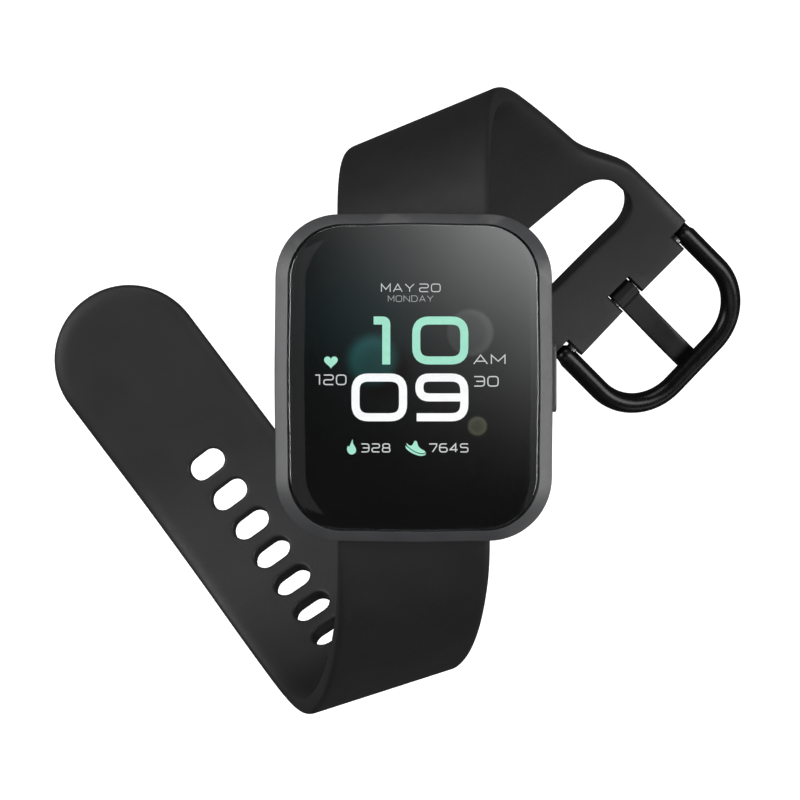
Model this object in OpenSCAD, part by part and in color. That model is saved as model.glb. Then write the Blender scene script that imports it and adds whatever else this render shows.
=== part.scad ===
// Smartwatch with a rectangular case and a pin-and-tuck silicone strap, lying open.
// Origin: centre of the sensor window on the back. +Z: out of the display. +Y: towards 12 o'clock.

/* [Case] */
// Width of the case, across the wrist's length
case_w = 36.7; // [36:0.1:38]
// Length of the case, along the strap
case_l = 43.3; // [43:0.1:45]
// Corner radius of the case outline
case_r = 8.4; // [7.5:0.1:9]
// Height of the rim round the glass
rim_z = 9.9; // [9.6:0.1:10.4]
// Height of the case body's underside
belly_z = 1.6; // [1.4:0.1:1.8]
// Width of the rim beside the glass
rim_w = 1.9; // [1.6:0.1:2]

/* [Glass and display] */
// Ledge that the glass sits on
glass_z = 8.55; // [8.55:0.05:8.8]
// Height of the glass's crown above its lower face
glass_t = 1.8; // [1.4:0.1:2.2]
// Width of the display panel
panel_w = 29.2; // [28:0.1:29.4]
// Length of the display panel
panel_l = 36.4; // [35:0.1:36.8]

/* [Strap] */
// Width of the strap
strap_w = 20; // [19:0.5:20]
// Thickness of the strap
strap_t = 2.6; // [2.2:0.1:3]
// Width of the strap at the buckle
shoulder_w = 25.5; // [24:0.5:26]
// Distance of each spring bar from the middle of the case
pin_y = 18.8; // [18.7:0.1:18.9]
// Height of each spring bar
pin_z = 3.6; // [3.5:0.1:3.7]
// Number of adjustment holes
hole_count = 10; // [6:1:11]
// Distance between adjustment holes
hole_pitch = 5.1; // [4.8:0.1:5.5]
// Distance from the tip to the first hole's middle
first_hole = 27.5; // [24:0.5:30]

/* [Buckle] */
// Diameter of the buckle's wire
wire_d = 2.7; // [2.2:0.1:2.8]
// Distance from the buckle's pin to its far bar
buckle_l = 14.7; // [13:0.1:16]
// How far the buckle hangs below the strap's end
buckle_tilt = 7; // [0:0.5:12]

/* [Hidden] */

$fn = 48;
eps = 0.01;

// Case
glass_w = case_w - 2 * rim_w;
glass_l = case_l - 1.55 * rim_w;
wall_y = 15.8;        // half length of the inner space between the strap recesses
wall_x = 15.6;        // half width of the inner space
inner_top = 7.2;      // where the inner space widens for the display
recess_w = 20.3;      // strap recess
recess_roof = 5.7;
recess_y = 16.9;
boss_x = 12.8;
boss_y = 13;
boss_r = 2.2;
cover_z = 0.8;        // outer face of the rear cover
cover_top = 2.6;
window_r = 8;
button_z = 5.6;
button_l = 9.1;
button_h = 2.4;
button_out = 0.5;     // how far the button stands out of the case

// Battery and board bay
battery_x = [-14.4, 5.0];
battery_l = 21;
board_l = 23.8;
board_z = 6.45;
board_t = 0.5;
motor_at = [10.2, -7.6];

// Spring bars
bar_r = 0.9;
tip_r = 0.45;
barrel_r = 1.7;
knob_x = 6.25;

// Buckle end of the upper strap
pin_inset = 1.4;      // buckle pin to the strap's end
notch_l = 3.2;
pin_r = 0.75;
arm_gap = shoulder_w / 2 - wire_d - 0.3;  // from the middle to each arm's notch
fit = 0.05;           // running clearance on pins

// Strap shape: [side, slope where it leaves the case, skew of the bending axis,
// straight lead before the bends, list of bends as [length, turn], length]
lower = [-1, 20.3, 19, 0, [[13, 39], [29.5, 26.5], [16.5, 54.5], [33.5, 43]], 122.9];
upper = [1, 26, 24.8, 1.8, [[12, 36], [18.3, 58], [22.2, 15.5], [19.4, 31.5]], 81.3];
slot_s = [61.4, 71.9];  // tuck slot, along the strap
slot_half = 9.8;
shoulder_s = [55, 67];
barrel_stations = [for (a = [75 : -25 : -25]) -barrel_r * sin(a)];

function clamp(x, lo, hi) = min(hi, max(lo, x));
function smooth(x, lo, hi) = let (t = clamp((x - lo) / (hi - lo), 0, 1)) t * t * (3 - 2 * t);

// Distance run along and across a chain of arcs after length v, and the angle turned
function arc_run(a, u, bend) =
    let (r = bend[0] * 180 / (PI * bend[1]), b = a + bend[1] * u / bend[0])
    [r * (sin(b) - sin(a)), r * (cos(a) - cos(b)), b];
function bend_run(bends, v, i = 0, a = 0) =
    (i == len(bends) || v <= 0) ? [v * cos(a), v * sin(a), a]
    : let (d = arc_run(a, min(v, bends[i][0]), bends[i]))
      v <= bends[i][0] ? d
      : let (rest = bend_run(bends, v - bends[i][0], i + 1, d[2]))
        [d[0] + rest[0], d[1] + rest[1], rest[2]];

// The flat strap's plane where it leaves the case: along, across and out of it
function flat_t(p) = [0, p[0] * cos(p[1]), -sin(p[1])];
function flat_n(p) = [0, p[0] * sin(p[1]), cos(p[1])];
// The bending axis, which lies skew in that plane, and the direction square to it
function axis_a(p) = cos(p[2]) * [1, 0, 0] + p[0] * sin(p[2]) * flat_t(p);
function axis_b(p) = cos(p[2]) * flat_t(p) - p[0] * sin(p[2]) * [1, 0, 0];
function run_at(p, s, w) = bend_run(p[4], (s - p[3]) * cos(p[2]) - p[0] * w * sin(p[2]));
function normal_at(p, s, w = 0) =
    let (q = run_at(p, s, w)) cos(q[2]) * flat_n(p) + sin(q[2]) * axis_b(p);
function along_at(p, s, w = 0) =
    let (q = run_at(p, s, w))
    cos(p[2]) * (cos(q[2]) * axis_b(p) - sin(q[2]) * flat_n(p)) + p[0] * sin(p[2]) * axis_a(p);
function across_at(p, s, w = 0) =
    let (q = run_at(p, s, w))
    cos(p[2]) * axis_a(p) - p[0] * sin(p[2]) * (cos(q[2]) * axis_b(p) - sin(q[2]) * flat_n(p));
// Point of the bent strap: s along it from the spring bar, w across, h out of its mid surface
function strap_point(p, s, w, h) =
    let (
        q = run_at(p, s, w),
        u = w * cos(p[2]) + p[0] * (s - p[3]) * sin(p[2]),
        lead = [0, p[0] * pin_y, pin_z] + p[3] * flat_t(p)
    )
    lead + u * axis_a(p) + q[0] * axis_b(p) - q[1] * flat_n(p) + h * normal_at(p, s, w);

// Half width and half thickness of each strap at s
function lower_half_w(s) =
    let (tip = lower[5] - strap_w / 2)
    s < tip ? strap_w / 2 : sqrt(max(0.3, pow(strap_w / 2, 2) - pow(s - tip, 2)));
function upper_half_w(s) =
    strap_w / 2 + (shoulder_w - strap_w) / 2 * smooth(s, shoulder_s[0], shoulder_s[1]);
function barrel_half_t(s) = sqrt(max(0, pow(barrel_r, 2) - pow(s, 2)));
function lower_half_t(s) =
    max(barrel_half_t(s), s < 0 ? 0 : strap_t / 2 + 0.2 * (1 - smooth(s, 2, 10)));
function upper_half_t(s) =
    lower_half_t(s) + 0.25 * smooth(s, upper[5] - 9, upper[5] - 4);

// Twelve points round the strap at s: top, right side, bottom, left side
function ring(p, s, hw, ht, slot_w) =
    let (
        flat = hw - min(0.7, hw / 3),
        in = min(slot_w, flat - 0.2),
        side = max(ht - 0.6, ht / 3)
    )
    [for (q = [
        [-flat, ht], [-in, ht], [in, ht], [flat, ht], [hw, side], [hw, -side],
        [flat, -ht], [in, -ht], [-in, -ht], [-flat, -ht], [-hw, -side], [-hw, side]
    ]) strap_point(p, s, q[0], q[1])];

// A strap as one closed solid. In the intervals marked open, a hole goes through its middle.
module strap_solid(p, rings, open) {
    n = len(rings);
    skin = [
        for (i = [0 : n - 2], k = [0 : 11])
            if (!(open[i] && (k == 1 || k == 7)))
                [i * 12 + k, i * 12 + (k + 1) % 12, (i + 1) * 12 + (k + 1) % 12, (i + 1) * 12 + k]
    ];
    holes = [
        for (i = [0 : n - 2]) if (open[i])
            let (a = i * 12, b = a + 12)
            each [
                [b + 1, a + 1, a + 8, b + 8], [a + 2, b + 2, b + 7, a + 7],
                if (!open[i - 1]) [a + 1, a + 2, a + 7, a + 8],
                if (!open[i + 1]) [b + 2, b + 1, b + 8, b + 7]
            ]
    ];
    caps = [
        for (q = [[11, 0, 9, 10], [0, 1, 8, 9], [1, 2, 7, 8], [2, 3, 6, 7], [3, 4, 5, 6]])
            each [[q[3], q[2], q[1], q[0]], [for (k = q) (n - 1) * 12 + k]]
    ];
    faces = [for (q = concat(skin, holes, caps)) each [[q[0], q[1], q[2]], [q[0], q[2], q[3]]]];
    polyhedron(
        [for (r = rings) each r],
        p[0] < 0 ? faces : [for (f = faces) [f[2], f[1], f[0]]]
    );
}

// Frame of the strap at s: X across, Y along, Z out of its outer face
module at_strap(p, s) {
    o = strap_point(p, s, 0, 0);
    x = across_at(p, s);
    y = along_at(p, s);
    z = cross(x, y);
    multmatrix([
        [x[0], y[0], z[0], o[0]],
        [x[1], y[1], z[1], o[1]],
        [x[2], y[2], z[2], o[2]],
        [0, 0, 0, 1]
    ]) children();
}

module rounded(w, l, r, h) {
    linear_extrude(h) union() {
        square([w - 2 * r, l], center = true);
        square([w, l - 2 * r], center = true);
        for (x = [-1, 1], y = [-1, 1]) translate([x * (w / 2 - r), y * (l / 2 - r)]) circle(r);
    }
}

module slab(x, y, z) {
    translate([x[0], y[0], z[0]]) cube([x[1] - x[0], y[1] - y[0], z[1] - z[0]]);
}

// A disc or tube that lies along X
module along_x(x, r) {
    translate([x[0], 0, 0]) rotate([0, 90, 0]) cylinder(x[1] - x[0], r, r);
}

// A pill-shaped prism along X, long in Y
module pill(x, l, h) {
    translate([x[0], 0, 0]) rotate([90, 0, 90]) linear_extrude(x[1] - x[0]) union() {
        square([l - h, h], center = true);
        for (s = [-1, 1]) translate([s * (l - h) / 2, 0]) circle(h / 2);
    }
}

module four(x, y, z) {
    for (sx = [-1, 1], sy = [-1, 1]) translate([sx * x, sy * y, z]) children();
}

module at_pin(side) {
    translate([0, side * pin_y, pin_z]) children();
}

// ---- Case ----

module case_outside() {
    hull() {
        translate([0, 0, belly_z]) rounded(case_w - 3, case_l - 3.4, case_r - 1.2, 0.1);
        translate([0, 0, 3.4]) rounded(case_w - 0.8, case_l - 0.8, case_r - 0.3, 0.1);
        translate([0, 0, 5]) rounded(case_w, case_l, case_r, rim_z - 6.6);
        translate([0, 0, rim_z - 0.7]) rounded(case_w - 1, case_l - 1, case_r - 0.4, 0.1);
        translate([0, 0, rim_z - 0.1]) rounded(case_w - 2.6, case_l - 2, case_r - 0.9, 0.1);
    }
}

module case_body() {
    color("#3b3c3f") difference() {
        case_outside();
        translate([0, 0, glass_z]) rounded(glass_w + 0.1, glass_l + 0.1, 7.25, 3);
        translate([0, 0, inner_top]) rounded(29.8, 37.2, 5.8, 3);
        difference() {
            translate([0, 0, -1]) rounded(2 * wall_x, 2 * wall_y, 5.5, inner_top + 1 + eps);
            four(boss_x, boss_y, cover_top) cylinder(3.8, boss_r, boss_r);
        }
        four(boss_x, boss_y, cover_top - eps) cylinder(3, 0.7, 0.7);
        for (side = [-1, 1]) {
            at_pin(side) along_x([-12.4, 12.4], tip_r + fit);
            slab(
                [-recess_w / 2, recess_w / 2],
                side > 0 ? [recess_y, 25] : [-25, -recess_y],
                [-1, recess_roof]
            );
        }
        translate([0, 0, button_z]) {
            pill([case_w / 2 - 0.95, case_w / 2 + 1], button_l + 0.4, button_h + 0.4);
            along_x([14, case_w / 2], 0.8 + fit);
            along_x([16.1, 16.8], 1.35);
        }
    }
}

module cover_glass() {
    color("#0b0d0f") translate([0, 0, glass_z + 0.21]) hull() {
        rounded(glass_w, glass_l, 7.2, 0.55 * glass_t);
        translate([0, 0, 0.75 * glass_t]) rounded(glass_w - 0.8, glass_l - 0.8, 6.8, 0.1);
        translate([0, 0, 0.89 * glass_t]) rounded(glass_w - 2.2, glass_l - 2.2, 6.2, 0.1);
        translate([0, 0, glass_t - 0.1]) rounded(glass_w - 4.4, glass_l - 4.4, 5.4, 0.1);
    }
}

module glass_gasket() {
    color("black") translate([0, 0, glass_z]) difference() {
        rounded(glass_w - 0.2, glass_l - 0.2, 7.1, 0.2);
        translate([0, 0, -1]) rounded(30, 37.4, 5.9, 2);
    }
}

module display_panel() {
    color("#101418") translate([0, 0, 7.75]) rounded(panel_w, panel_l, 5.4, 1);
}

module backlight_unit() {
    color("white") translate([0, 0, 7.25]) rounded(panel_w - 0.4, panel_l - 0.4, 5.2, 0.48);
}

module display_flex() {
    color("#c8791e") union() {
        slab([-5, 5], [-14.6, -8], [7.05, 7.17]);
        slab([-3.5, 3.5], [-10.4, -8], [board_z + board_t, 7.06]);
    }
}

// ---- Inside the case ----

module mid_frame() {
    color("#26282b") difference() {
        translate([0, 0, 2.75]) rounded(30.6, 31, 5, board_z - 2.8);
        slab(
            [battery_x[0] - 0.15, battery_x[1] + 0.15],
            [-battery_l / 2 - 0.15, battery_l / 2 + 0.15],
            [2, 8]
        );
        slab([6.4, 14.2], [-2.9, 11.4], [2, 8]);
        translate([motor_at[0], motor_at[1], 2]) cylinder(6, 3.7, 3.7);
        four(boss_x, boss_y, 2) cylinder(6, boss_r + 0.3, boss_r + 0.3);
        slab([12.6, 16], [-3, 3], [3.6, 8]);
        for (x = [-7.6, 7.6]) translate([x, -13.7, 2]) cylinder(2.2, 1.6, 1.6);
        slab([-6.2, 6.2], [-13.6, -11.6], [2, 4.6]);
        slab([5.3, 6.6], [-2.2, 2.2], [2, 8]);
        slab([-3.2, 3.2], [battery_l / 2, 13], [4, 8]);
    }
}

module main_board() {
    color("#14532d") difference() {
        slab([-14.8, 14.8], [-board_l / 2, board_l / 2], [board_z, board_z + board_t]);
        slab([12.7, 16], [-3.2, 3.2], [5, 8]);
    }
}

module board_chips() {
    chips = [[-9.5, 4, 5, 5], [-9.5, -4.6, 4, 3], [-2, 6.5, 3.2, 2.5], [4.4, 4.4, 3, 3], [8.6, -6, 2.5, 2]];
    color("#1b1b1f") translate([0, 0, board_z + board_t]) for (c = chips)
        slab([c[0] - c[2] / 2, c[0] + c[2] / 2], [c[1] - c[3] / 2, c[1] + c[3] / 2], [0, 0.22]);
}

module shield_can() {
    color("silver") difference() {
        slab([7, 12.8], [-1.6, 10.6], [4.9, board_z]);
        slab([7.15, 12.65], [-1.45, 10.45], [5.05, board_z + 1]);
    }
}

module antenna() {
    color("#c8a24a") union() {
        slab([-9.5, 9.5], [13.2, 14.8], [board_z, board_z + 0.12]);
        slab([-9.5, -8.3], [12.1, 13.3], [board_z, board_z + 0.12]);
    }
}

module battery() {
    color("#8d9298") translate([(battery_x[0] + battery_x[1]) / 2, 0, 2.8])
        rounded(battery_x[1] - battery_x[0], battery_l, 1.2, 3.4);
}

module battery_flex() {
    edge = board_l / 2;
    top = board_z + board_t;
    color("#c8791e") union() {
        slab([-2.6, 2.6], [battery_l / 2 + 0.02, edge + 0.2], [5, 5.12]);
        slab([-2.6, 2.6], [edge + 0.08, edge + 0.2], [5, top + 0.14]);
        slab([-2.6, 2.6], [edge - 1, edge + 0.2], [top + 0.02, top + 0.14]);
    }
}

module vibration_motor() {
    color("silver") translate([motor_at[0], motor_at[1], 2.9]) union() {
        cylinder(2.2, 3.5, 3.5);
        translate([0, 0, 2.2]) cylinder(0.3, 3.1, 3.1);
    }
}

// ---- Back ----

module rear_cover() {
    color("#2c2d30") difference() {
        union() {
            hull() {
                translate([0, 0, cover_z]) rounded(31.6, 31, 5.4, 0.1);
                translate([0, 0, belly_z - 0.1]) rounded(33.2, 32.6, 6, 0.08);
            }
            translate([0, 0, belly_z - 0.1]) rounded(31, 31.4, 5.4, 2.1 - belly_z);
            translate([0, 0, 2]) rounded(29.4, 29.8, 4.6, cover_top - 2);
            translate([0, 0, 0.25]) cylinder(0.6, 10, 11.6);
        }
        translate([0, 0, -1]) cylinder(2.1, window_r + fit, window_r + fit);
        cylinder(4, 7.2, 7.2);
        four(boss_x, boss_y, -1) cylinder(2.4, 1.2, 1.2);
        four(boss_x, boss_y, -1) cylinder(5, 0.75, 0.75);
        for (x = [-3.8, 3.8]) translate([x, -12.9, -1]) cylinder(5, 1.15, 1.15);
    }
}

module rear_gasket() {
    color("black") translate([0, 0, 2.02]) difference() {
        rounded(31.1, 31.5, 5.45, 0.55);
        translate([0, 0, -1]) rounded(29.5, 29.9, 4.65, 2);
    }
}

module rear_screws() {
    color("silver") four(boss_x, boss_y, 0) difference() {
        union() {
            translate([0, 0, 0.9]) cylinder(0.5, 1.1, 1.1);
            translate([0, 0, 1.4]) cylinder(3.6, 0.65, 0.65);
        }
        for (a = [0, 90]) rotate(a) slab([-0.7, 0.7], [-0.15, 0.15], [0.5, 1.15]);
    }
}

module sensor_window() {
    color("#0a0a0c") cylinder(1.05, window_r, window_r);
}

module light_barrier() {
    color("black") translate([0, 0, 1.12]) difference() {
        cylinder(0.8, 7, 7);
        for (a = [0 : 90 : 270]) rotate(a) translate([3.4, 0, -1]) cylinder(3, 1.9, 1.9);
        translate([0, 0, -1]) cylinder(3, 1.2, 1.2);
    }
}

module sensor_board() {
    color("#14532d") translate([0, 0, 1.95]) cylinder(0.5, 7, 7);
}

module sensor_lamps() {
    color("#d9f2d9") {
        for (a = [0 : 90 : 270]) rotate(a) slab([2.5, 4.3], [-1, 1], [1.35, 1.95]);
        slab([-0.6, 0.6], [-0.6, 0.6], [1.45, 1.95]);
    }
}

module sensor_flex() {
    color("#c8791e") union() {
        slab([2.5, 5.75], [-1.8, 1.8], [2.47, 2.59]);
        slab([5.63, 5.75], [-1.8, 1.8], [2.47, board_z]);
    }
}

module charging_contacts() {
    color("#c9a14a") for (x = [-3.8, 3.8]) translate([x, -12.9, cover_z - 0.02]) union() {
        cylinder(1.95, 1.1, 1.1);
        translate([0, 0, 1.95]) cylinder(0.9, 0.5, 0.5);
    }
}

module dock_magnets() {
    color("silver") for (x = [-7.6, 7.6]) translate([x, -13.7, 2.65]) cylinder(1.3, 1.5, 1.5);
}

// ---- Button ----

module side_button() {
    x = case_w / 2;
    color("#46474a") translate([0, 0, button_z]) difference() {
        union() {
            pill([x - 0.4, x + 0.35], button_l, button_h);
            pill([x + 0.3, x + button_out], button_l - 0.5, button_h - 0.5);
            along_x([14.7, x - 0.3], 0.8);
        }
        difference() {
            along_x([15.2, 15.55], 2);
            along_x([15, 16], 0.6);
        }
    }
}

module button_seal() {
    color("black") translate([16.45, 0, button_z]) rotate([0, 90, 0]) rotate_extrude()
        translate([1.08, 0]) circle(0.26);
}

module button_clip() {
    color("silver") translate([0, 0, button_z]) difference() {
        along_x([15.22, 15.52], 1.5);
        along_x([15, 16], 0.61);
        slab([15, 16], [-0.5, 0.5], [-2, 0]);
    }
}

module button_switch() {
    color("#8d9298") union() {
        slab([12.9, 14], [-1.7, 1.7], [button_z - 1.1, button_z + 1.1]);
        translate([0, 0, button_z]) along_x([14, 14.25], 0.5);
    }
}

// ---- Spring bars: a tube with a fixed tip, a sliding tip with a release knob, and a spring ----

module bar_tube(side) {
    color("silver") at_pin(side) difference() {
        union() {
            along_x([-9.9, 9.9], bar_r);
            along_x([-11.6, -9.8], tip_r);
        }
        along_x([-2.1, 9.2], 0.62);
        along_x([9, 10], tip_r + fit);
        slab([knob_x - 2, knob_x + 0.6], [-0.5, 0.5], [-1, 0]);
    }
}

module bar_tip(side) {
    color("silver") at_pin(side) union() {
        along_x([knob_x - 0.7, knob_x + 0.7], 0.57);
        along_x([knob_x + 0.6, 11.6], tip_r);
        translate([knob_x, 0, -2.6]) cylinder(2.6, 0.35, 0.35);
        translate([knob_x, 0, -3]) cylinder(0.5, 0.7, 0.7);
    }
}

// A coil of round wire from x0 to x1 along X
module bar_spring(side) {
    x0 = -2;
    x1 = knob_x - 0.75;
    turns = 8;
    coil_r = 0.45;
    wire_r = 0.1;
    steps = turns * 10;
    sides = 5;
    points = [
        for (i = [0 : steps], k = [0 : sides - 1])
            let (
                a = i * 360 * turns / steps,
                b = k * 360 / sides,
                r = coil_r + wire_r * cos(b),
                x = x0 + wire_r + (x1 - x0 - 2 * wire_r) * i / steps + wire_r * sin(b)
            )
            [x, r * cos(a), r * sin(a)]
    ];
    faces = concat(
        [for (i = [0 : steps - 1], k = [0 : sides - 1])
            let (a = i * sides + k, b = i * sides + (k + 1) % sides)
            each [[a, a + sides, b + sides], [a, b + sides, b]]],
        [[for (k = [0 : sides - 1]) k], [for (k = [sides - 1 : -1 : 0]) steps * sides + k]]
    );
    color("silver") at_pin(side) polyhedron(points, faces);
}

module upper_bar_tube() { bar_tube(1); }
module upper_bar_tip() { bar_tip(1); }
module upper_bar_spring() { bar_spring(1); }
module lower_bar_tube() { bar_tube(-1); }
module lower_bar_tip() { bar_tip(-1); }
module lower_bar_spring() { bar_spring(-1); }

// Room in the strap's end for its spring bar and the release knob
module bar_room(side) {
    at_pin(side) {
        along_x([-11, 11], bar_r + 0.01);
        slab([knob_x - 2.4, knob_x + 1.2], [-1.3, 1.3], [-4, 0]);
    }
}

module lower_strap() {
    tip = lower[5] - strap_w / 2;
    last = lower[5] - first_hole;
    first = last - (hole_count - 1) * hole_pitch;
    hole = 3.1 / 2;
    lead = [for (i = [0 : 16]) 2.2 + i * (first - hole - 2.2) / 17];
    holed = [for (i = [0 : hole_count - 1], e = [-hole, hole]) first + i * hole_pitch + e];
    tail = [for (i = [1 : 6]) last + hole + i * (tip - last - hole) / 6];
    round_tip = [for (a = [15 : 15 : 75]) tip + strap_w / 2 * sin(a)];
    stations = concat(barrel_stations, lead, holed, tail, round_tip, [lower[5]]);
    open = [for (s = stations) s >= first - hole - eps && s < last
        && (s - first + hole) - floor((s - first + hole) / hole_pitch + 0.01) * hole_pitch < 1];
    rings = [for (s = stations) ring(lower, s, lower_half_w(s), lower_half_t(s), 2.6)];
    color("#202124") difference() {
        strap_solid(lower, rings, open);
        bar_room(-1);
    }
}

module upper_strap() {
    lead = [for (i = [0 : 24]) 2.2 + i * (slot_s[0] - 2.2) / 25];
    slot = [for (i = [0 : 4]) slot_s[0] + i * (slot_s[1] - slot_s[0]) / 4];
    end = [slot_s[1] + 1.8, slot_s[1] + 3.6, upper[5]];
    stations = concat(barrel_stations, lead, slot, end);
    open = [for (s = stations) s > slot_s[0] - eps && s < slot_s[1] - eps];
    rings = [for (s = stations) ring(upper, s, upper_half_w(s), upper_half_t(s), slot_half)];
    color("#202124") difference() {
        strap_solid(upper, rings, open);
        bar_room(1);
        at_strap(upper, upper[5] - pin_inset) {
            along_x([-14, 14], pin_r + fit);
            for (x = [[-15, -arm_gap], [-1.9, 1.9], [arm_gap, 15]])
                slab(x, [pin_inset - notch_l, 5], [-4, 4]);
        }
    }
}

// ---- Buckle, in the frame of its pin: X along the pin, Y towards the far bar ----

module at_buckle() {
    at_strap(upper, upper[5] - pin_inset) rotate([buckle_tilt, 0, 0]) children();
}

module buckle_frame() {
    r = wire_d / 2;
    arm_x = shoulder_w / 2 - r;
    corner = 7.4;
    color("#0c0c0e") at_buckle() difference() {
        union() {
            for (s = [-1, 1]) {
                translate([s * arm_x, 0, 0]) rotate([-90, 0, 0]) cylinder(buckle_l - corner, r, r);
                translate([s * arm_x, 0, 0]) sphere(r);
                translate([s * (arm_x - corner), buckle_l - corner, 0]) rotate([0, 0, s > 0 ? 0 : 90])
                    rotate_extrude(angle = 90) translate([corner, 0]) circle(r);
            }
            translate([0, buckle_l, 0]) along_x([corner - arm_x, arm_x - corner], r);
        }
        along_x([0.35 - shoulder_w / 2, shoulder_w / 2 - 0.35], pin_r + 0.01);
    }
}

module buckle_bar() {
    color("silver") at_buckle() along_x([0.4 - shoulder_w / 2, shoulder_w / 2 - 0.4], pin_r);
}

// Height of the tongue's inner face above the pin's plane, at y along the buckle
function tongue_z(y) = 0.35 + 1.15 * smooth(y, 0, 14) + 0.75 * sin(180 * clamp(y / 15, 0, 1));

module buckle_tongue() {
    steps = 16;
    y_end = buckle_l + 1.1;
    ys = [for (i = [0 : steps]) i * y_end / steps];
    color("#0c0c0e") at_buckle() difference() {
        union() {
            along_x([-1.65, 1.65], 1.5);
            translate([1.575, 0, 0]) rotate([90, 0, -90]) linear_extrude(3.15) polygon(concat(
                [for (y = ys) [-y, tongue_z(y)]],
                [for (i = [steps : -1 : 0]) [-ys[i], tongue_z(ys[i]) + 0.85]]
            ));
        }
        along_x([-3, 3], pin_r + fit);
    }
}

case_body();
cover_glass();
glass_gasket();
display_panel();
backlight_unit();
display_flex();
mid_frame();
main_board();
board_chips();
shield_can();
antenna();
battery();
battery_flex();
vibration_motor();
rear_cover();
rear_gasket();
rear_screws();
sensor_window();
light_barrier();
sensor_board();
sensor_lamps();
sensor_flex();
charging_contacts();
dock_magnets();
side_button();
button_seal();
button_clip();
button_switch();
upper_strap();
upper_bar_tube();
upper_bar_spring();
upper_bar_tip();
lower_strap();
lower_bar_tube();
lower_bar_spring();
lower_bar_tip();
buckle_frame();
buckle_bar();
buckle_tongue();
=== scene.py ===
"""Looks of the smartwatch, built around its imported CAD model. Metres, in the model's own frame."""

import math

import bmesh
import bpy
import numpy as np
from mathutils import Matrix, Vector
from mathutils.geometry import delaunay_2d_cdt


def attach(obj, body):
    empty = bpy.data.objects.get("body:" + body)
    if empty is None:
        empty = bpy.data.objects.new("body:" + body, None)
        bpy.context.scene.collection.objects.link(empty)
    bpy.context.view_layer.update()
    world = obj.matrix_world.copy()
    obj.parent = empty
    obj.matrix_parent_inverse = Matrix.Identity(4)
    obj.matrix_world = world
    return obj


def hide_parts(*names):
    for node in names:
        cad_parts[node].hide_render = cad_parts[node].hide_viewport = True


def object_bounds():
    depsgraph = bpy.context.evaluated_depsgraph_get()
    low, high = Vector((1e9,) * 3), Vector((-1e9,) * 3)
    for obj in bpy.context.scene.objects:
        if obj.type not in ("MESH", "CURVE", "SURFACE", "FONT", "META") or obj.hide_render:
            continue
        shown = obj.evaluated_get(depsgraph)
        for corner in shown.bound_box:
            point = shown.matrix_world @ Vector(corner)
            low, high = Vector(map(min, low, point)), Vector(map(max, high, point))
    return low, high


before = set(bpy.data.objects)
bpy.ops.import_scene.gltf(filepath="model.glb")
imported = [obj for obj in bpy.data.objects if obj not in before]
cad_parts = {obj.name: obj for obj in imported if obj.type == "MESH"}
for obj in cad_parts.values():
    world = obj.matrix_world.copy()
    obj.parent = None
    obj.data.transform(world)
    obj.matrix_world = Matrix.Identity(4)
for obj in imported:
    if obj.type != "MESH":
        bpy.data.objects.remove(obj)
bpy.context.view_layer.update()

MM = 0.001

# Driving sizes, in millimetres, the same as in the CAD model
CASE_W, CASE_L, CASE_R = 36.7, 43.3, 8.4
RIM_Z, BELLY_Z, RIM_W = 9.9, 1.6, 1.9
GLASS_W, GLASS_L, GLASS_R = CASE_W - 2 * RIM_W, CASE_L - 1.55 * RIM_W, 7.2
PIN_Y, PIN_Z = 18.8, 3.6
STRAP_W, STRAP_T, SHOULDER_W = 20, 2.6, 25.5
BARREL_R = 1.7
BARREL_END = 1.62
KNOB_X = 6.25
HOLE_COUNT, HOLE_PITCH, FIRST_HOLE = 10, 5.1, 27.5
HOLE_L, HOLE_W = 5.2, 3.1
SLOT_S, SLOT_HALF, SLOT_R = (61.4, 71.9), 9.8, 4.2
SHOULDER_S = (55, 67)
PIN_INSET, ARM_NOTCH, HUB_NOTCH, NOTCH_HALF = 1.4, 2.86, 3.02, 1.82
WIRE_D, BUCKLE_L, BUCKLE_TILT, BUCKLE_CORNER = 2.7, 14.7, 7, 7.4
BUTTON_Z, BUTTON_L, BUTTON_H, BUTTON_OUT = 5.6, 9.1, 2.4, 0.5
SHAFT_R, SHAFT_X = 0.8, 14.7
SEAL_X, SEAL_R = (16.1, 16.8), 1.35
CLIP_X, CLIP_R = (15.2, 15.55), 0.6
ROOM_X, ROOM_Y, ROOM_TOP = 15.6, 15.8, 7.2
LEDGE_X, LEDGE_Y, LEDGE_Z = 14.9, 18.6, 8.5
BOSS_X, BOSS_Y, BOSS_R, SCREW_R, COVER_TOP = 12.8, 13, 2.2, 0.7, 2.6
RECESS_X, RECESS_Y, RECESS_TOP = 10.15, 16.9, 5.7
PIN_HOLE_X, PIN_HOLE_R = 12.4, 0.5
BUCKLE_PIN_R = 0.8
GLASS_Z, GLASS_TOP, SCREEN_Z = 8.83, 10.56, 7.75

# Strap shape: side, slope where it leaves the case, skew of the bending axis, straight lead,
# bends as (length, turn in degrees), and length
LOWER = dict(side=-1, slope=20.3, skew=19, lead=0, length=122.9,
             bends=((13, 39), (29.5, 26.5), (16.5, 54.5), (33.5, 43)))
UPPER = dict(side=1, slope=26, skew=24.8, lead=1.8, length=81.3,
             bends=((12, 36), (18.3, 58), (22.2, 15.5), (19.4, 31.5)))


# ---------------------------------------------------------------- strap geometry

def smooth(x, lo, hi):
    t = np.clip((np.asarray(x, float) - lo) / (hi - lo), 0, 1)
    return t * t * (3 - 2 * t)


def bend_run(bends, v):
    """Distance along and across a chain of arcs after length v, and the angle turned."""
    v = np.asarray(v, float)
    x, z, a = np.minimum(v, 0), np.zeros_like(v), np.zeros_like(v)
    left = np.maximum(v, 0)
    for length, turn in bends:
        k = math.radians(turn) / length
        b = a + k * np.minimum(left, length)
        x = x + (np.sin(b) - np.sin(a)) / k
        z = z + (np.cos(a) - np.cos(b)) / k
        left, a = np.maximum(left - length, 0), b
    return x + left * np.cos(a), z + left * np.sin(a), a


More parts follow.
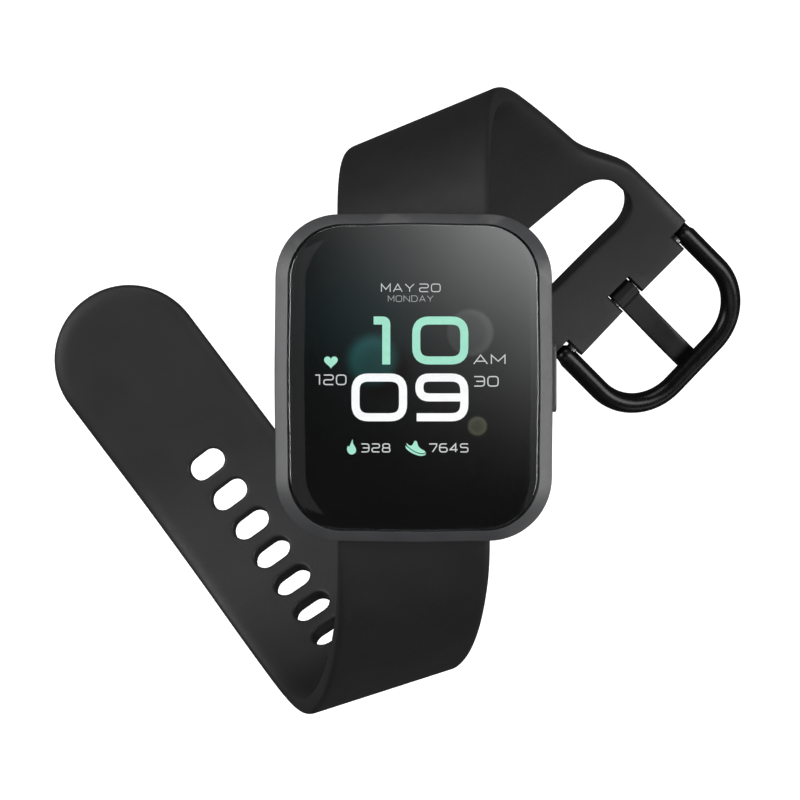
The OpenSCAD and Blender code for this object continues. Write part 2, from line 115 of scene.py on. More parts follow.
def strap_axes(p):
    side, slope, skew = p["side"], math.radians(p["slope"]), math.radians(p["skew"])
    flat_t = np.array([0, side * math.cos(slope), -math.sin(slope)])
    flat_n = np.array([0, side * math.sin(slope), math.cos(slope)])
    ex = np.array([1.0, 0, 0])
    axis_a = math.cos(skew) * ex + side * math.sin(skew) * flat_t
    axis_b = math.cos(skew) * flat_t - side * math.sin(skew) * ex
    return flat_t, flat_n, axis_a, axis_b


def strap_point(p, s, w, h):
    """Points of the bent strap, in mm: s along it, w across, h out of its mid surface."""
    s, w, h = (np.atleast_1d(np.asarray(q, float)) for q in (s, w, h))
    flat_t, flat_n, axis_a, axis_b = strap_axes(p)
    side, skew = p["side"], math.radians(p["skew"])
    run = s - p["lead"]
    x, z, a = bend_run(p["bends"], run * math.cos(skew) - side * w * math.sin(skew))
    u = w * math.cos(skew) + side * run * math.sin(skew)
    normal = np.cos(a)[:, None] * flat_n + np.sin(a)[:, None] * axis_b
    start = np.array([0, side * PIN_Y, PIN_Z]) + p["lead"] * flat_t
    return start + u[:, None] * axis_a + x[:, None] * axis_b - z[:, None] * flat_n + h[:, None] * normal


def strap_frame(p, s):
    """Origin and axes of the strap at s: across, along, out of its outer face."""
    o = strap_point(p, s, 0, 0)[0]
    x = strap_point(p, s, 0.01, 0)[0] - o
    y = strap_point(p, s + 0.01, 0, 0)[0] - o
    x, y = x / np.linalg.norm(x), y / np.linalg.norm(y)
    return o, x, y, np.cross(x, y)


def barrel_half_t(s):
    return np.sqrt(np.maximum(0, BARREL_R ** 2 - np.asarray(s, float) ** 2))


def lower_half_t(s):
    s = np.asarray(s, float)
    return np.maximum(barrel_half_t(s), np.where(s < 0, 0, STRAP_T / 2 + 0.2 * (1 - smooth(s, 2, 10))))


def upper_half_t(s):
    return lower_half_t(s) + 0.25 * smooth(s, UPPER["length"] - 9, UPPER["length"] - 4)


def upper_half_w(s):
    return STRAP_W / 2 + (SHOULDER_W - STRAP_W) / 2 * smooth(s, *SHOULDER_S)


# ---------------------------------------------------------------- mesh helpers

def new_object(name, verts, faces, material, body, slot, smooth_shade=True):
    mesh = bpy.data.meshes.new(name)
    mesh.from_pydata([tuple(np.asarray(v) * MM) for v in verts], [], [tuple(f) for f in faces])
    mesh.validate()
    bm = bmesh.new()
    bm.from_mesh(mesh)
    bmesh.ops.remove_doubles(bm, verts=bm.verts, dist=1e-7)
    bmesh.ops.recalc_face_normals(bm, faces=bm.faces)
    bm.to_mesh(mesh)
    bm.free()
    obj = bpy.data.objects.new(name, mesh)
    bpy.context.scene.collection.objects.link(obj)
    for poly in mesh.polygons:
        poly.use_smooth = smooth_shade
    if material:
        mesh.materials.append(material)
    if body:
        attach(obj, body)
    return obj


def apply_modifiers(obj):
    depsgraph = bpy.context.evaluated_depsgraph_get()
    mesh = bpy.data.meshes.new_from_object(obj.evaluated_get(depsgraph))
    obj.modifiers.clear()
    obj.data = mesh


def sharp_by_angle(obj, degrees=38):
    """Smooth shading that keeps edges sharper than the angle."""
    limit = math.radians(degrees)
    bm = bmesh.new()
    bm.from_mesh(obj.data)
    for face in bm.faces:
        face.smooth = True
    for edge in bm.edges:
        edge.smooth = len(edge.link_faces) == 2 and edge.calc_face_angle(0) < limit
    bm.to_mesh(obj.data)
    bm.free()


def cut(obj, cutters, operation="DIFFERENCE"):
    """Booleans of obj with each cutter, which are then removed."""
    for cutter in cutters:
        mod = obj.modifiers.new("cut", "BOOLEAN")
        mod.operation, mod.object, mod.solver = operation, cutter, "EXACT"
        apply_modifiers(obj)
        bpy.data.objects.remove(cutter)


def loft(rings, loop=False):
    """Vertices and faces of a skin over rings of the same count, capped unless it loops back."""
    n = len(rings[0])
    verts = [v for ring in rings for v in ring]
    faces = []
    count = len(rings)
    for i in range(count if loop else count - 1):
        j = (i + 1) % count
        for k in range(n):
            m = (k + 1) % n
            faces.append((i * n + k, i * n + m, j * n + m, j * n + k))
    if not loop:
        faces.append(tuple(range(n - 1, -1, -1)))
        faces.append(tuple(range((count - 1) * n, count * n)))
    return verts, faces


def box_solid(x, y, z):
    """A box between two values on each axis, as a cutter."""
    corners = [(a, b, c) for c in z for b in y for a in x]
    faces = [(0, 2, 3, 1), (4, 5, 7, 6), (0, 1, 5, 4), (2, 6, 7, 3), (0, 4, 6, 2), (1, 3, 7, 5)]
    return new_object("cutter", corners, faces, None, None, None)


def rod_solid(start, end, radius, sides=40):
    """A closed cylinder between two points, as a cutter."""
    start, end = Vector(start), Vector(end)
    turn = (end - start).to_track_quat("Z", "Y")
    ring = [turn @ Vector((radius * math.cos(t), radius * math.sin(t), 0))
            for t in np.linspace(0, 2 * math.pi, sides, endpoint=False)]
    verts, faces = loft([[start + r for r in ring], [end + r for r in ring]])
    return new_object("cutter", verts, faces, None, None, None)


def rounded_outline(w, l, r, bulge=0.0, arc=14, edge=14):
    """Points round a rounded rectangle whose sides bow outwards by bulge, anticlockwise."""
    hx, hy = w / 2 - bulge, l / 2 - bulge
    cx, cy = hx - r, hy - r
    points = []
    for quarter, (sx, sy) in enumerate(((1, 1), (-1, 1), (-1, -1), (1, -1))):
        for i in range(arc + 1):
            t = math.radians(90 * (quarter + i / arc))
            points.append((sx * cx + r * math.cos(t), sy * cy + r * math.sin(t)))
        nx, ny = ((-1, 1), (-1, -1), (1, -1), (1, 1))[quarter]
        t = math.radians(90 * (quarter + 1))
        start = np.array([sx * cx + r * math.cos(t), sy * cy + r * math.sin(t)])
        end = np.array([nx * cx + r * math.cos(t), ny * cy + r * math.sin(t)])
        out = np.array([math.cos(t), math.sin(t)])
        for i in range(1, edge):
            f = i / edge
            points.append(tuple(start + f * (end - start) + out * bulge * math.sin(math.pi * f) ** 2))
    return points


def outline_ring(z, inset, w=CASE_W, l=CASE_L, r=CASE_R, bulge=0.12, inset_y=None):
    """A rounded rectangle at height z, drawn in by inset, or by inset_y along Y where that is given."""
    inset_y = inset if inset_y is None else inset_y
    radius = max(0.5, r - (inset + inset_y) / 2 * 0.8)
    return [(x, y, z) for x, y in rounded_outline(w - 2 * inset, l - 2 * inset_y, radius, bulge)]


def pill_outline(l, h, n=16):
    """Points round a pill, long in the first coordinate."""
    half, r = (l - h) / 2, h / 2
    points = []
    for sign in (1, -1):
        for i in range(n + 1):
            t = math.radians(-90 + 180 * i / n + (0 if sign > 0 else 180))
            points.append((sign * half + r * math.cos(t), r * math.sin(t)))
    return points


# ---------------------------------------------------------------- materials

def node_graph(name):
    """A new node material: itself, its nodes and links, its shader, and the object's own coordinates."""
    mat = bpy.data.materials.new(name)
    mat.use_nodes = True
    nodes, links = mat.node_tree.nodes, mat.node_tree.links
    shader = nodes["Principled BSDF"]
    coords = nodes.new("ShaderNodeTexCoord").outputs["Object"]
    return mat, nodes, links, shader, coords


def noise(nodes, links, coords, scale, detail=4.0, stretch=None):
    if stretch:
        mapping = nodes.new("ShaderNodeMapping")
        mapping.inputs["Scale"].default_value = stretch
        links.new(coords, mapping.inputs["Vector"])
        coords = mapping.outputs["Vector"]
    texture = nodes.new("ShaderNodeTexNoise")
    texture.inputs["Scale"].default_value = scale
    texture.inputs["Detail"].default_value = detail
    links.new(coords, texture.inputs["Vector"])
    return texture.outputs["Fac"]


def ramp(nodes, links, value, low, high):
    """A colour between low and high, by the middle range of a noise value."""
    node = nodes.new("ShaderNodeValToRGB")
    node.color_ramp.elements[0].position = 0.35
    node.color_ramp.elements[1].position = 0.65
    node.color_ramp.elements[0].color = (*low, 1)
    node.color_ramp.elements[1].color = (*high, 1)
    links.new(value, node.inputs["Fac"])
    return node.outputs["Color"]


def spread(nodes, links, value, low, high):
    """A number between low and high, by the middle range of a noise value."""
    node = nodes.new("ShaderNodeMapRange")
    node.inputs["From Min"].default_value, node.inputs["From Max"].default_value = 0.3, 0.7
    node.inputs["To Min"].default_value, node.inputs["To Max"].default_value = low, high
    links.new(value, node.inputs["Value"])
    return node.outputs["Result"]


def finish(name, dark, light, rough, grain, bump, metallic=0.0, patches=120, stretch=None, coat=0.0,
           coat_rough=0.1, wear=None, specular=0.5):
    """A surface with slow colour variation, fine grain in its roughness and bump, and worn edges."""
    mat, nodes, links, shader, coords = node_graph(name)
    colour = ramp(nodes, links, noise(nodes, links, coords, patches, 6, stretch), dark, light)
    fine = noise(nodes, links, coords, grain, 5, stretch)
    if wear:
        edge = nodes.new("ShaderNodeNewGeometry").outputs["Pointiness"]
        mask = nodes.new("ShaderNodeMapRange")
        mask.inputs["From Min"].default_value, mask.inputs["From Max"].default_value = 0.52, 0.6
        links.new(edge, mask.inputs["Value"])
        mix = nodes.new("ShaderNodeMix")
        mix.data_type = "RGBA"
        links.new(mask.outputs["Result"], mix.inputs["Factor"])
        links.new(colour, mix.inputs["A"])
        mix.inputs["B"].default_value = (*wear, 1)
        colour = mix.outputs["Result"]
    links.new(colour, shader.inputs["Base Color"])
    links.new(spread(nodes, links, fine, *rough), shader.inputs["Roughness"])
    relief = nodes.new("ShaderNodeBump")
    relief.inputs["Strength"].default_value, relief.inputs["Distance"].default_value = bump
    links.new(fine, relief.inputs["Height"])
    links.new(relief.outputs["Normal"], shader.inputs["Normal"])
    shader.inputs["Metallic"].default_value = metallic
    shader.inputs["Specular IOR Level"].default_value = specular
    shader.inputs["Coat Weight"].default_value = coat
    shader.inputs["Coat Roughness"].default_value = coat_rough
    return mat


def glow(name, colour, strength):
    """A lit display mark, with the faint unevenness of a backlight."""
    mat, nodes, links, shader, coords = node_graph(name)
    low = tuple(0.93 * c for c in colour)
    lit = ramp(nodes, links, noise(nodes, links, coords, 900, 3), low, colour)
    links.new(lit, shader.inputs["Emission Color"])
    shader.inputs["Emission Strength"].default_value = strength
    shader.inputs["Base Color"].default_value = (0, 0, 0, 1)
    shader.inputs["Roughness"].default_value = 0.6
    shader.inputs["Specular IOR Level"].default_value = 0.0
    return mat


def maths(nodes, links, operation, a, b=None):
    node = nodes.new("ShaderNodeMath")
    node.operation = operation
    for socket, value in zip(node.inputs, (a, b)):
        if value is None:
            continue
        if isinstance(value, (int, float)):
            socket.default_value = value
        else:
            links.new(value, socket)
    return node.outputs[0]


def soft_disc(nodes, links, x, y, centre, radius, blur):
    """1 inside a disc, falling to 0 over the blur's width, all in metres."""
    dx = maths(nodes, links, "SUBTRACT", x, centre[0] * MM)
    dy = maths(nodes, links, "SUBTRACT", y, centre[1] * MM)
    square_x = maths(nodes, links, "MULTIPLY", dx, dx)
    square_y = maths(nodes, links, "MULTIPLY", dy, dy)
    far = maths(nodes, links, "SQRT", maths(nodes, links, "ADD", square_x, square_y))
    node = nodes.new("ShaderNodeMapRange")
    node.interpolation_type = "SMOOTHSTEP"
    node.inputs["From Min"].default_value = (radius + blur) * MM
    node.inputs["From Max"].default_value = (radius - blur) * MM
    links.new(far, node.inputs["Value"])
    return node.outputs["Result"]


def wallpaper_and_painted_reflection_material():
    """The display's picture, a dark teal field with soft out-of-focus discs, under a painted diagonal sheen:
    a softbox's reflection on the glass, painted into the glow.
    """
    mat, nodes, links, shader, coords = node_graph("display_wallpaper_and_painted_reflection")
    split = nodes.new("ShaderNodeSeparateXYZ")
    links.new(coords, split.inputs[0])
    x, y = split.outputs["X"], split.outputs["Y"]

    def share(value, low, high):
        node = nodes.new("ShaderNodeMapRange")
        node.inputs["From Min"].default_value = low * MM
        node.inputs["From Max"].default_value = high * MM
        links.new(value, node.inputs["Value"])
        return node.outputs["Result"]

    u, v = share(x, -GLASS_W / 2, GLASS_W / 2 - 1.5), share(y, -GLASS_L / 2, GLASS_L / 2)
    # Painted reflection: a softbox's sheen on the glass, brighter towards the top right and towards the top,
    # painted into the display's glow
    painted_diagonal_reflection = maths(nodes, links, "MULTIPLY", maths(nodes, links, "MULTIPLY", u, v), 0.46)
    painted_top_reflection = maths(nodes, links, "MULTIPLY", maths(nodes, links, "MULTIPLY", v, v), 0.11)
    # Cloudy depth, so that the field isn't one even ramp
    cloud = maths(nodes, links, "SUBTRACT", noise(nodes, links, coords, 110, 2), 0.5)
    cloud = maths(nodes, links, "MULTIPLY", cloud, 0.02)
    tone = maths(nodes, links, "ADD", maths(nodes, links, "ADD", painted_diagonal_reflection, painted_top_reflection), cloud)
    teal = soft_disc(nodes, links, x, y, (-9.5, 6.5), 5, 13)
    # Soft discs: centre, radius, blur, and how much red, green and blue each adds
    discs = (((-5.4, 2.3), 3.2, 1.0, (0.05, 0.17, 0.165)), ((-4.0, 0.8), 3.4, 1.5, (-0.02, -0.05, -0.052)),
             ((7.45, 5.9), 3.05, 0.3, (0.08, 0.085, 0.085)), ((6.9, 5.9), 2.6, 0.5, (-0.03, -0.03, -0.03)),
             ((8.4, -6.4), 1.25, 0.25, (0.2, 0.2, 0.15)), ((8.4, -6.4), 0.95, 0.5, (-0.07, -0.07, -0.05)))
    masks = [(soft_disc(nodes, links, x, y, centre, radius, blur), level)
             for centre, radius, blur, level in discs]
    join = nodes.new("ShaderNodeCombineColor")
    for channel, (socket, cast) in enumerate((("Red", -0.01), ("Green", 0.042), ("Blue", 0.05))):
        value = maths(nodes, links, "ADD", tone, maths(nodes, links, "MULTIPLY", teal, cast))
        for mask, level in masks:
            share_of_disc = maths(nodes, links, "MULTIPLY", mask, level[channel])
            value = maths(nodes, links, "ADD", value, share_of_disc)
        value = maths(nodes, links, "MAXIMUM", value, 0.0)
        links.new(maths(nodes, links, "POWER", value, 2.2), join.inputs[socket])
    links.new(join.outputs[0], shader.inputs["Emission Color"])
    shader.inputs["Emission Strength"].default_value = 1.0
    shader.inputs["Base Color"].default_value = (0.001, 0.001, 0.001, 1)
    shader.inputs["Roughness"].default_value = 0.5
    shader.inputs["Specular IOR Level"].default_value = 0.0
    return mat


def glass_material():
    """Clear glass with faint smears in its gloss and tint."""
    mat, nodes, links, shader, coords = node_graph("watch_glass")
    smear = noise(nodes, links, coords, 60, 5, (1, 1, 0.2))
    links.new(spread(nodes, links, smear, 0.015, 0.05), shader.inputs["Roughness"])
    tint = ramp(nodes, links, smear, (0.93, 0.95, 0.96), (0.99, 1, 1))
    links.new(tint, shader.inputs["Base Color"])
    shader.inputs["Transmission Weight"].default_value = 1.0
    shader.inputs["IOR"].default_value = 1.5
    return mat


SILICONE = finish("black_silicone", (0.0135, 0.0135, 0.0139), (0.0172, 0.0172, 0.0177), (0.48, 0.6), 2600,
                  (0.16, 0.00002), patches=140, specular=0.36, wear=(0.03, 0.03, 0.031))
CASE = finish("case_satin", (0.052, 0.053, 0.056), (0.062, 0.063, 0.066), (0.36, 0.48), 4200,
              (0.12, 0.00001), patches=220, wear=(0.09, 0.09, 0.093))
BACK = finish("back_plastic", (0.02, 0.02, 0.022), (0.028, 0.028, 0.03), (0.38, 0.5), 3600,
              (0.12, 0.00001), patches=200)
BUTTON = finish("button_satin", (0.06, 0.06, 0.064), (0.075, 0.076, 0.08), (0.3, 0.4), 3800,
                (0.1, 0.00001), patches=240, wear=(0.12, 0.12, 0.125))
BUCKLE = finish("buckle_black_gloss", (0.0018, 0.0018, 0.002), (0.0032, 0.0032, 0.0034), (0.24, 0.32), 1800,
                (0.05, 0.000008), patches=300, specular=0.26, wear=(0.009, 0.009, 0.0095))
# The tongue: the same black plating as the wire, given a lighter base colour as painted light for the glow
# along its arch, and a slightly rougher gloss
TONGUE_PAINTED_LIGHTER = finish("tongue_black_satin_painted_lighter", (0.006, 0.006, 0.0064), (0.009, 0.009, 0.0095), (0.3, 0.38), 1800,
                (0.05, 0.000008), patches=300, specular=0.3, wear=(0.02, 0.02, 0.021))
STEEL = finish("bare_steel", (0.5, 0.5, 0.51), (0.62, 0.62, 0.63), (0.18, 0.34), 2400,
               (0.1, 0.00001), metallic=1.0, patches=260, stretch=(0.12, 1, 1))
RUBBER = finish("seal_rubber", (0.008, 0.008, 0.008), (0.014, 0.014, 0.014), (0.6, 0.75), 3000,
                (0.2, 0.00002), patches=300)
INNER = finish("inner_plastic", (0.018, 0.018, 0.02), (0.026, 0.026, 0.028), (0.5, 0.65), 2800,
               (0.15, 0.00002), patches=240)
BOARD = finish("circuit_board", (0.008, 0.06, 0.026), (0.013, 0.085, 0.038), (0.3, 0.45), 1500,
               (0.25, 0.00003), patches=700)
CHIP = finish("chip_plastic", (0.012, 0.012, 0.013), (0.02, 0.02, 0.022), (0.5, 0.65), 3400,
              (0.15, 0.00001), patches=500)
TIN = finish("tin_plate", (0.52, 0.52, 0.52), (0.66, 0.66, 0.65), (0.24, 0.38), 2000,
             (0.1, 0.00001), metallic=1.0, patches=300, stretch=(1, 0.15, 1))
FLEX = finish("flex_film", (0.36, 0.17, 0.04), (0.46, 0.23, 0.06), (0.28, 0.4), 1600,
              (0.1, 0.00001), patches=500)
FOIL = finish("battery_foil", (0.36, 0.38, 0.4), (0.46, 0.48, 0.5), (0.3, 0.5), 900,
              (0.35, 0.00005), metallic=0.9, patches=180)
GUIDE = finish("light_guide", (0.72, 0.72, 0.71), (0.84, 0.84, 0.83), (0.25, 0.35), 2400,
               (0.08, 0.00001), patches=200)
LAMP = finish("lamp_plastic", (0.55, 0.72, 0.46), (0.7, 0.86, 0.6), (0.12, 0.22), 2600,
              (0.05, 0.00001), patches=500, coat=0.5)
GOLD = finish("gold_plate", (0.7, 0.48, 0.19), (0.82, 0.58, 0.26), (0.14, 0.28), 2600,
              (0.06, 0.00001), metallic=1.0, patches=500)
SENSOR = finish("sensor_glass", (0.006, 0.006, 0.0075), (0.010, 0.010, 0.012), (0.03, 0.08), 700,
                (0.02, 0.000005), patches=300, coat=1.0, coat_rough=0.03)
# The display's picture, with a painted reflection of a softbox on the glass in its glow
WALLPAPER_AND_PAINTED_REFLECTION = wallpaper_and_painted_reflection_material()
GLASS = glass_material()
MINT = glow("lit_mint", (0.43, 0.9, 0.7), 1.0)
WHITE = glow("lit_white", (1.0, 1.0, 1.0), 1.12)
GREY = glow("lit_grey", (0.72, 0.74, 0.74), 1.0)
FAINT = glow("lit_faint_grey", (0.42, 0.44, 0.44), 1.0)

NODE_LOOK = {
    "glass_gasket": RUBBER, "backlight_unit": GUIDE, "display_flex": FLEX, "mid_frame": INNER,
    "main_board": BOARD, "board_chips": CHIP, "shield_can": TIN, "antenna": FLEX, "battery": FOIL,
    "battery_flex": FLEX, "vibration_motor": STEEL, "rear_cover": BACK, "rear_gasket": RUBBER,
    "rear_screws": STEEL, "sensor_window": SENSOR, "light_barrier": INNER, "sensor_board": BOARD,
    "sensor_lamps": LAMP, "sensor_flex": FLEX, "charging_contacts": GOLD, "dock_magnets": STEEL,
    "button_seal": RUBBER, "button_clip": STEEL, "button_switch": TIN, "upper_bar_tube": STEEL,
    "upper_bar_spring": STEEL, "upper_bar_tip": STEEL, "lower_bar_tube": STEEL,
    "lower_bar_spring": STEEL, "lower_bar_tip": STEEL, "buckle_bar": STEEL,
}
# Width of the softened edges, in millimetres
BEVELLED = {
    "rear_cover": 0.12, "battery": 0.3, "shield_can": 0.08, "sensor_window": 0.15,
    "buckle_bar": 0.12, "charging_contacts": 0.12, "vibration_motor": 0.15, "board_chips": 0.05,
}


def dress_cad_nodes():
    """Gives the CAD nodes that stay their materials, and softens some of their edges."""
    for name, material in NODE_LOOK.items():
        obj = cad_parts[name]
        if obj.material_slots:
            for slot in obj.material_slots:
                slot.link = "OBJECT"
                slot.material = material
        if name in BEVELLED:
            mod = obj.modifiers.new("softened", "BEVEL")
            mod.width, mod.segments = BEVELLED[name] * MM, 3
            mod.limit_method, mod.angle_limit = "ANGLE", math.radians(40)
            mod.harden_normals = True


# ---------------------------------------------------------------- straps

# Rounding of the edges: how far it reaches in over the face, and how deep it drops
OUTER_ROUND = (0.9, 0.5)
INNER_ROUND = (2.0, 0.75)
ROUND_STEPS = 6
END_ROUND = 0.28


def rounding(reach, drop):
    """(inset, drop) from the face's edge of the rounding to the side wall."""
    for i in range(ROUND_STEPS + 1):
        t = math.pi / 2 * i / ROUND_STEPS
        yield reach * (1 - math.sin(t)), drop * (1 - math.cos(t))


def inside(points, loop):
    """Which points lie inside a closed loop."""
    loop = np.asarray(loop)
    x, y = points[:, 0], points[:, 1]
    result = np.zeros(len(points), bool)
    for (x0, y0), (x1, y1) in zip(loop, np.roll(loop, -1, 0)):
        crosses = (y0 > y) != (y1 > y)
        with np.errstate(divide="ignore", invalid="ignore"):
            at = (x1 - x0) * (y - y0) / (y1 - y0) + x0
        result ^= crosses & (x < at)
    return result


def near(points, loops, gap):
    """Which points lie closer than gap to any point of the loops."""
    edge = np.vstack([np.asarray(loop) for loop in loops])
    return np.array([np.min(np.hypot(*(edge - q).T)) < gap for q in points])


def strap_mesh(p, half_t, outline, openings, pocket):
    """Vertices and faces of a strap: faces filled between loops, rounded edges, and its openings' walls."""
    flat, heights, faces = [], [], []

    def add_ring(loop, drop, outer_face):
        base = len(flat)
        t = half_t(np.array([q[0] for q in loop]))
        drop = drop * np.minimum(1, t / (STRAP_T / 2))
        flat.extend(loop)
        heights.extend((t - drop) if outer_face else (drop - t))
        return list(range(base, base + len(loop)))

    def skin(rings):
        for a, b in zip(rings, rings[1:]):
            for k in range(len(a)):
                m = (k + 1) % len(a)
                faces.append((a[k], a[m], b[m], b[k]))

    def wall(shape, outer_round, inner_round):
        outer = [add_ring(shape(i), d, True) for i, d in rounding(*outer_round)]
        inner = [add_ring(shape(i), d, False) for i, d in rounding(*inner_round)]
        skin(outer + inner[::-1])
        return outer[0], inner[0]

    def fill(loops, outer_face):
        """Triangles between the first loop and the rest, with points added so that they bend evenly."""
        plain = [[flat[i] for i in loop] for loop in loops]
        lo, hi = np.min(plain[0], 0), np.max(plain[0], 0)
        grid = np.array([(s, w) for i, s in enumerate(np.arange(lo[0] + 0.5, hi[0], 0.8))
                         for w in np.arange(lo[1] + 0.4 + 0.55 * (i % 2), hi[1], 1.1)])
        keep = inside(grid, plain[0]) & ~near(grid, plain, 0.35)
        for loop in plain[1:]:
            keep &= ~inside(grid, loop)
        grid = grid[keep]
        base = len(flat)
        flat.extend(map(tuple, grid))
        t = half_t(grid[:, 0])
        heights.extend(t if outer_face else -t)
        ids = [i for loop in loops for i in loop] + list(range(base, base + len(grid)))
        points = [Vector(flat[i]) for i in ids]
        edges, start = [], 0
        for loop in loops:
            n = len(loop)
            edges += [(start + k, start + (k + 1) % n) for k in range(n)]
            start += n
        triangles, origins = delaunay_2d_cdt(points, edges, [], 0, 1e-7)[2:4]
        where = np.array([points[o[0]] for o in origins])
        middle = np.array([where[list(t)].mean(0) for t in triangles])
        keep = inside(middle, plain[0])
        for loop in plain[1:]:
            keep &= ~inside(middle, loop)
        faces.extend(tuple(ids[origins[k][0]] for k in t) for t, ok in zip(triangles, keep) if ok)

    top, bottom = wall(outline, OUTER_ROUND, INNER_ROUND)
    tops, bottoms = [top], [bottom]
    for shape in openings:
        a, b = wall(shape, (0.35, 0.3), (0.45, 0.35))
        tops.append(a)
        bottoms.append(b)
    rim = add_ring(pocket(0.2), 0, False)
    lip = add_ring(pocket(0), 0.25, False)
    bottoms.append(rim)
    floor = list(range(len(flat), len(flat) + len(lip)))
    flat.extend(pocket(0))
    heights.extend([-0.1] * len(lip))
    skin([rim, lip, floor])
    faces.append(tuple(floor))
    fill(tops, True)
    fill(bottoms, False)
    s, w = np.array(flat).T
    return strap_point(p, s, w, np.array(heights)), faces


# Points along a strap's side, and along each edge of half of its notched end
SIDE_POINTS = 130
NOTCH_POINTS = (4, 5, 9, 5)
# Gap between a buckle arm and the side of its notch
ARM_GAP = 0.12


def lower_outline(inset):
    """The tail's outline, anticlockwise in (s, w): straight sides and a round tip."""
    end_in = min(inset, END_ROUND)
    tip = LOWER["length"] - STRAP_W / 2
    half = STRAP_W / 2 - inset
    side = np.linspace(end_in - BARREL_END, tip, SIDE_POINTS)
    loop = [(s, -half) for s in side]
    loop += [(tip + half * math.cos(t), half * math.sin(t))
             for t in np.radians(np.linspace(-90, 90, 41))[1:-1]]
    loop += [(s, half) for s in side[::-1]]
    loop += [(side[0], w) for w in np.linspace(half, -half, 16)[1:-1]]
    return loop


def upper_outline(inset):
    """The buckle half's outline: it widens at the shoulder and has three notches for the buckle."""
    end_in = min(inset, END_ROUND)
    arm, mid = SHOULDER_W / 2 - WIRE_D - ARM_GAP - end_in, NOTCH_HALF + end_in
    end, back, deep = (UPPER["length"] - q - end_in for q in (0, ARM_NOTCH, HUB_NOTCH))
    side = [(s, float(upper_half_w(s)) - inset)
            for s in np.linspace(end_in - BARREL_END, back, SIDE_POINTS)]
    half = list(side)
    corners = ((back, arm), (end, arm), (end, mid), (deep, mid))
    for (s1, w1), count in zip(corners, NOTCH_POINTS):
        s0, w0 = half[-1]
        half += [(s0 + (s1 - s0) * i / count, w0 + (w1 - w0) * i / count) for i in range(1, count + 1)]
    loop = [(s, -w) for s, w in half]
    loop += [(deep, w) for w in np.linspace(-mid, mid, 6)[1:-1]]
    loop += half[::-1]
    loop += [(side[0][0], w) for w in np.linspace(side[0][1], -side[0][1], 16)[1:-1]]
    return loop


def slot_loop(inset):
    """The tuck slot, grown by inset: a rounded rectangle, long across the strap."""
    s0, s1 = SLOT_S[0] - inset, SLOT_S[1] + inset
    half, r = SLOT_HALF + inset, SLOT_R + inset
    outline = rounded_outline(s1 - s0, 2 * half, r, 0, 10, 8)
    return [((s0 + s1) / 2 + a, b) for a, b in outline]


def hole_loop(index):
    """An adjustment hole as a function of how far it is grown, the first being nearest the tip."""
    s = LOWER["length"] - FIRST_HOLE - index * HOLE_PITCH

    def loop(inset):
        return [(s + b, a) for a, b in pill_outline(HOLE_L + 2 * inset, HOLE_W + 2 * inset, 10)]

    return loop


def knob_pocket(grow):
    """Room in the strap's inner face for the spring bar's release knob."""
    outline = rounded_outline(2.2 + 2 * grow, 3.6 + 2 * grow, 0.5, 0, 4, 2)
    return [(a, b + KNOB_X - 0.6) for a, b in outline]


def build_straps():
    """The two halves of the strap."""
    verts, faces = strap_mesh(LOWER, lower_half_t, lower_outline,
                              [hole_loop(i) for i in range(HOLE_COUNT)], knob_pocket)
    tail = new_object("tail_strap_skin", verts, faces, SILICONE, "strap_lower", "strap_silicone")
    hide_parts("lower_strap")
    verts, faces = strap_mesh(UPPER, upper_half_t, upper_outline, [slot_loop], knob_pocket)
    short = new_object("buckle_strap_skin", verts, faces, SILICONE, "strap_upper", "strap_silicone")
    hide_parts("upper_strap")
    for obj in (tail, short):
        sharp_by_angle(obj, 50)


# ---------------------------------------------------------------- case and glass

def build_case():
    """The case: rounded belly, straight sides, sloping rim, a ledge for the glass, and the room inside."""
    # Rings as (height, inset), up the outside and down the inside
    belly = [(BELLY_Z, 1.55), (1.75, 1.15), (2.2, 0.72), (3.0, 0.36), (4.0, 0.1), (5.0, 0)]
    roll = [(RIM_Z - 1.05 + 0.3 * math.sin(t), 0.2 * (1 - math.cos(t)))
            for t in np.radians(np.linspace(0, 60, 5))]
    rim = [(RIM_Z - 0.1, 1.5), (RIM_Z - 0.03, 1.6), (RIM_Z - 0.05, 1.66), (RIM_Z - 0.15, 1.7), (LEDGE_Z, 1.7)]
    wide = (CASE_W / 2 - LEDGE_X, CASE_L / 2 - LEDGE_Y)
    narrow = (CASE_W / 2 - ROOM_X, CASE_L / 2 - ROOM_Y)
    room = [(LEDGE_Z, *wide), (ROOM_TOP, *wide), (ROOM_TOP, *narrow), (BELLY_Z, *narrow)]
    rings = [outline_ring(z, i) for z, i in belly]
    rings += [outline_ring(z, i, inset_y=0.78 * i) for z, i in roll + rim]
    rings += [outline_ring(z, i, inset_y=j, bulge=0) for z, i, j in room]
    shell = new_object("case_shell", *loft(rings, loop=True), CASE, "case", "case_plastic")
    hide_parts("case_body")
    corners = [(x * BOSS_X, y * BOSS_Y) for x in (-1, 1) for y in (-1, 1)]
    cut(shell, [rod_solid((x, y, COVER_TOP), (x, y, COVER_TOP + 3.8), BOSS_R) for x, y in corners], "UNION")
    cut(shell, strap_cutters() + button_cutters())
    cut(shell, [rod_solid((x, y, COVER_TOP - 0.1), (x, y, COVER_TOP + 3), SCREW_R) for x, y in corners])
    sharp_by_angle(shell, 32)


